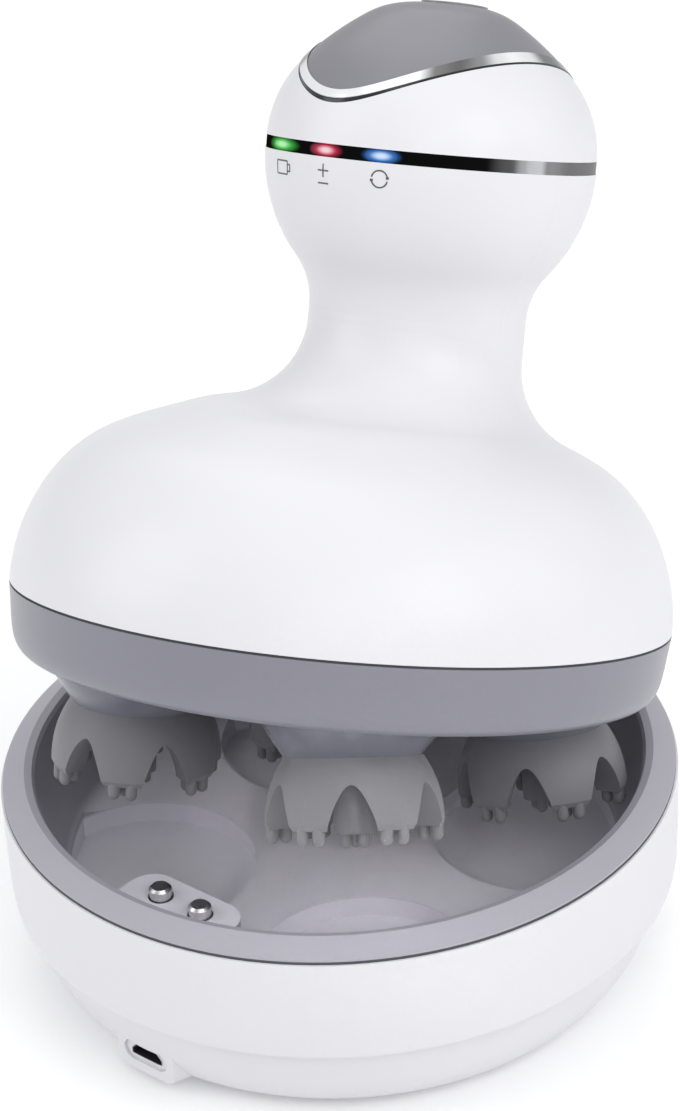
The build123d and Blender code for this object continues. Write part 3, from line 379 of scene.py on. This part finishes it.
FRAME = moulded("frame_grey", (0.20, 0.20, 0.22), 0.5, tint=0.06)
BLACK = moulded("black_plastic", (0.02, 0.02, 0.022), 0.42, tint=0.15)
BASE = moulded("base_white", (0.74, 0.74, 0.75), 0.5, tint=0.02, grain=1500.0, depth=0.00003)
PAD = silicone("pad_rubber", (0.06, 0.06, 0.065))
WRAP = moulded("cell_wrap", (0.03, 0.12, 0.40), 0.25, tint=0.05, coat=0.3)
STEEL = turned("steel", (0.66, 0.66, 0.69), 0.26)
GOLD = turned("contact_metal", (0.66, 0.65, 0.66), 0.30, 3000.0)
# darker steel for the socket's shell: painted shade inside the socket
SHADED_SHIELD = turned("socket_shield_painted_shade", (0.30, 0.30, 0.32), 0.30)
BRONZE = turned("bronze", (0.55, 0.36, 0.18), 0.32)
BOARD = board()
BAND = band_painted_glow_and_highlight()

LOOKS = {
    "main_shell": WHITE, "dock_shell": WHITE, "head_cap": WHITE, "lower_case": CASE, "dock_liner": LINER,
    "seam_seal": SEAL, "dock_seal": SEAL, "indicator_band": BAND, "top_panel": PANEL, "power_button": BUTTON,
    "trim_ring": TRIM, "led_board": BOARD, "control_board": BOARD, "contact_board": BOARD, "usb_board": BOARD,
    "contact_plates": GOLD, "charge_pin_left": GOLD, "charge_pin_right": GOLD, "case_screws": STEEL,
    "base_screws": STEEL, "battery_cell": WRAP, "battery_holder": FRAME, "tactile_switch": BLACK,
    "gearbox_base": FRAME, "gearbox_top": FRAME, "motor_plate": FRAME, "spindle_bushings": BRONZE,
    "drive_motor": STEEL, "centre_shaft": STEEL, "centre_gear": GEAR, "main_wheel": GEAR, "idler_gear": GEAR,
    "idler_shaft": STEEL, "motor_pinion": BRONZE, "motor_shaft": STEEL, "base_plate": BASE,
    "anti_slip_pad": PAD, "usb_receptacle": SHADED_SHIELD, "usb_tongue": BLACK, "pin_carrier": BLACK,
    "contact_spring_left": STEEL, "contact_spring_right": STEEL,
}
for head in ("front_right", "rear_right", "rear_left", "front_left"):
    LOOKS[f"gear_{head}"] = GEAR
    LOOKS[f"hub_{head}"] = HUB
    LOOKS[f"claw_{head}"] = CLAW
for label in LIGHTS:
    LOOKS[label] = lamp(label)

for label, node in frame["nodes"].items():
    node.data.materials.clear()
    node.data.materials.append(LOOKS[label].material)


# ---------------------------------------------------------------- pieces of the scene's own
def as_piece(mesh, name, material, body):
    """The finished mesh as a piece that rides on a body."""
    bmesh.ops.recalc_face_normals(mesh, faces=mesh.faces)
    data = bpy.data.meshes.new(name)
    mesh.to_mesh(data)
    mesh.free()
    piece = bpy.data.objects.new(name, data)
    bpy.context.scene.collection.objects.link(piece)
    data.materials.append(material)
    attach(piece, body)


def arc(radius, first, last, steps=18, at=(0.0, 0.0)):
    """Points of an arc, angles in degrees counter-clockwise from the right."""
    turns = [radians(first + (last - first) * i / steps) for i in range(steps + 1)]
    return [(at[0] + radius * cos(t), at[1] + radius * sin(t)) for t in turns]


# ---------------------------------------------------------------- printed marks under the lights
INK = moulded("printed_ink", (0.09, 0.09, 0.10), 0.5, tint=0.1, depth=0.000002).material
MARK_LEVEL = 79.35
MARK_WIDTH = 0.27
MARK_PROUD = 0.03
MARK_SUNK = -0.05
MARK_SHIFT = 1.1    # degrees towards +X


def printed(name, azimuth, strokes):
    """Printed mark on the ball: each stroke is a line in millimetres, right and up, and its width."""
    mesh = bmesh.new()

    def spot(u, v, proud):
        return mesh.verts.new(on_ball(azimuth + u / BALL_RADIUS * 180 / pi, MARK_LEVEL + v, proud))

    for line, width in strokes:
        rows = []
        for i, (u, v) in enumerate(line):
            before, after = line[max(i - 1, 0)], line[min(i + 1, len(line) - 1)]
            run = Vector((after[0] - before[0], after[1] - before[1])).normalized() * width / 2
            left, right = (u - run.y, v + run.x), (u + run.y, v - run.x)
            rows.append([spot(*left, MARK_SUNK), spot(*left, MARK_PROUD), spot(*right, MARK_PROUD),
                         spot(*right, MARK_SUNK)])
        for a, b in zip(rows, rows[1:]):
            for k in range(3):
                mesh.faces.new((a[k], b[k], b[k + 1], a[k + 1]))
        mesh.faces.new(rows[0])
        mesh.faces.new(rows[-1][::-1])
    as_piece(mesh, name, INK, "massager")


def straight(start, end, steps=6):
    """Line with extra points along it, so that it follows the ball."""
    (a, b), (c, d) = start, end
    line = [(a + (c - a) * i / steps, b + (d - b) * i / steps) for i in range(steps)]
    return line + [end]


def thin(*lines):
    """Lines drawn in the usual width."""
    return [(line, MARK_WIDTH) for line in lines]


def chain(*corners):
    """Straight lines from each corner to the next."""
    return thin(*(straight(a, b) for a, b in zip(corners, corners[1:])))


BOX_LEFT, BOX_RIGHT, BOX_HALF = -2.4, 1.5, 1.2
KNOB_RIGHT, KNOB_HALF = 2.4, 0.62
printed("mark_battery", -LIGHT_SPREAD + 2 * MARK_SHIFT, [
    *chain((BOX_LEFT, -BOX_HALF), (BOX_LEFT, BOX_HALF), (BOX_RIGHT, BOX_HALF), (BOX_RIGHT, -BOX_HALF),
           (BOX_LEFT, -BOX_HALF)),
    *chain((BOX_RIGHT, KNOB_HALF), (KNOB_RIGHT, KNOB_HALF), (KNOB_RIGHT, -KNOB_HALF), (BOX_RIGHT, -KNOB_HALF))])
BAR_HALF, BAR_LEVEL, DASH_LEVEL = 1.2, 0.45, -1.85
printed("mark_strength", MARK_SHIFT, [
    *chain((-BAR_HALF, BAR_LEVEL), (BAR_HALF, BAR_LEVEL)),
    *chain((0.0, BAR_LEVEL + BAR_HALF), (0.0, BAR_LEVEL - BAR_HALF)),
    *chain((-BAR_HALF, DASH_LEVEL), (BAR_HALF, DASH_LEVEL))])
RING, HEAD_WIDTH = 1.52, 0.56
printed("mark_direction", LIGHT_SPREAD, [
    *thin(arc(RING, 14, 168), arc(RING, 194, 348)),
    (arc(RING, 2, 18, steps=2), HEAD_WIDTH), (arc(RING, 182, 198, steps=2), HEAD_WIDTH)])


# ---------------------------------------------------------------- lining of the socket in the dock's boss, its black sleeve painted shade inside the hole
PORT_FACE = -58.6
PORT_LEVEL = 6.4
SOCKET_FACE = -56.0
LIP_FACE = PORT_FACE + 0.55
FRAME_WIDTH, FRAME_HEIGHT = 10.36, 4.36
MOUTH_HALF_WIDTH, MOUTH_HALF_HEIGHT, MOUTH_CUT = 3.75, 1.3, 1.15
SHADE_SLEEVE_WALL = 0.25
LIP_PROUD, LIP_DEPTH, SHADE_SLEEVE_PROUD = 0.12, 0.5, 0.05
OVERLAP = 0.02
TINY = 1e-9
RAY_START = 0.01 - pi / 2    # a little past the lowest point, so that no ray runs along an edge


def stadium(width, height, steps=10):
    """Outline with round ends, in millimetres, across and up."""
    r = height / 2
    right = arc(r, -90, 90, steps, at=(width / 2 - r, 0.0))
    return right + [(-x, y) for x, y in reversed(right)]


def mouth(inset):
    """Outline of the socket's mouth: wide below, with its upper corners cut off."""
    half, top = MOUTH_HALF_WIDTH - inset, MOUTH_HALF_HEIGHT - inset
    return [(-half, -top), (half, -top), (half, top - MOUTH_CUT), (half - MOUTH_CUT, top),
            (-half + MOUTH_CUT, top), (-half, top - MOUTH_CUT)]


def crossing(ray, a, b):
    """How far along a ray from the middle the edge from a to b lies, or None where it is missed."""
    edge = b - a
    turn = ray.x * edge.y - ray.y * edge.x
    if abs(turn) < TINY:
        return None
    reach = (a.x * edge.y - a.y * edge.x) / turn
    share = (a.x * ray.y - a.y * ray.x) / turn
    return reach if reach > 0 and -TINY <= share <= 1 + TINY else None


def seen_from_middle(outline, count=44):
    """The same outline as points at even angles, from its lowest point round to the right."""
    corners = [Vector(corner) for corner in outline]
    edges = list(zip(corners, corners[1:] + corners[:1]))
    points = []
    for i in range(count):
        t = 2 * pi * i / count + RAY_START
        ray = Vector((cos(t), sin(t)))
        reach = max(hit for hit in (crossing(ray, a, b) for a, b in edges) if hit is not None)
        points.append((ray.x * reach, ray.y * reach))
    return points


def collar(name, outer, inner, front, back, look):
    """Ring between two outlines, standing in the boss from front to back."""
    mesh = bmesh.new()
    rows = []
    for outline, depth in ((outer, back), (outer, front), (inner, front), (inner, back)):
        spots = ((x * MM, depth * MM, (PORT_LEVEL + z) * MM) for x, z in seen_from_middle(outline))
        rows.append([mesh.verts.new(spot) for spot in spots])
    for a, b in zip(rows, rows[1:] + rows[:1]):
        for i in range(len(a)):
            k = (i + 1) % len(a)
            mesh.faces.new((a[i], a[k], b[k], b[i]))
    as_piece(mesh, name, look.material, "dock")


collar("port_frame", stadium(FRAME_WIDTH, FRAME_HEIGHT), mouth(-OVERLAP), LIP_FACE, SOCKET_FACE,
       WHITE)
collar("port_lip", mouth(-OVERLAP / 2), mouth(SHADE_SLEEVE_WALL / 2), LIP_FACE - LIP_PROUD, LIP_FACE + LIP_DEPTH,
       STEEL)
# black sleeve lining the hole: painted shade inside the socket
collar("port_shade_sleeve", mouth(SHADE_SLEEVE_WALL / 2), mouth(SHADE_SLEEVE_WALL), LIP_FACE - SHADE_SLEEVE_PROUD, SOCKET_FACE - OVERLAP,
       BLACK)


# ---------------------------------------------------------------- floor and lights
FLOOR_HALF = 4.0
LIT_POINT = (0, 0, 0.06)
# each light: place, size and power
STUDIO = {
    "front": ((0.56, -0.64, 0.73), (0.5, 0.5), 1.6),
    "front_right": ((0.84, -0.07, 0.77), (0.6, 0.6), 3.7),
    "left": ((-0.69, -0.69, 0.58), (0.6, 0.8), 3.1),
    "right": ((0.80, 0.56, 0.58), (0.45, 0.8), 1.3),
    "back": ((-0.51, 0.59, 0.84), (0.8, 0.8), 1.9),
    "top": ((0, 0, 1.16), (1.2, 1.2), 3.1),
}
BOWL_LIGHT = ((0.52, -0.52, 0.55), (0.04, 0.04), 0.0015)
BOWL_POINT = (0.004, -0.004, 0.022)
BOWL_SPREAD = 4
SKY = (0.97, 0.98, 1.0, 1)
SKY_STRENGTH = 0.53


def floor():
    data = bpy.data.meshes.new("floor")
    corners = [(x * FLOOR_HALF, y * FLOOR_HALF, 0) for x, y in ((-1, -1), (1, -1), (1, 1), (-1, 1))]
    data.from_pydata(corners, [], [(0, 1, 2, 3)])
    piece = bpy.data.objects.new("floor", data)
    bpy.context.scene.collection.objects.link(piece)
    n = Nodes("floor_paper")
    n.join(n.blend(n.noise(8.0), (0.86, 0.86, 0.865), (0.89, 0.89, 0.895)), n.shader.inputs["Base Color"])
    n.set(Emission_Color=(1, 1, 1, 1), Emission_Strength=0.12, Roughness=0.6, Specular_IOR_Level=0.2)
    data.materials.append(n.material)


def area(name, place, size, power, target=LIT_POINT):
    data = bpy.data.lights.new(name, "AREA")
    data.shape = "RECTANGLE"
    data.size, data.size_y = size
    data.energy = power
    light = bpy.data.objects.new(name, data)
    light.location = place
    light.rotation_euler = (Vector(target) - Vector(place)).to_track_quat("-Z", "Y").to_euler()
    bpy.context.scene.collection.objects.link(light)
    return data


floor()
for name, settings in STUDIO.items():
    area(name, *settings)
area("bowl", *BOWL_LIGHT, target=BOWL_POINT).spread = radians(BOWL_SPREAD)
world = bpy.data.worlds.new("studio")
world.use_nodes = True
world.node_tree.nodes["Background"].inputs["Color"].default_value = SKY
world.node_tree.nodes["Background"].inputs["Strength"].default_value = SKY_STRENGTH
bpy.context.scene.world = world
bpy.context.scene.view_settings.view_transform = "Standard"
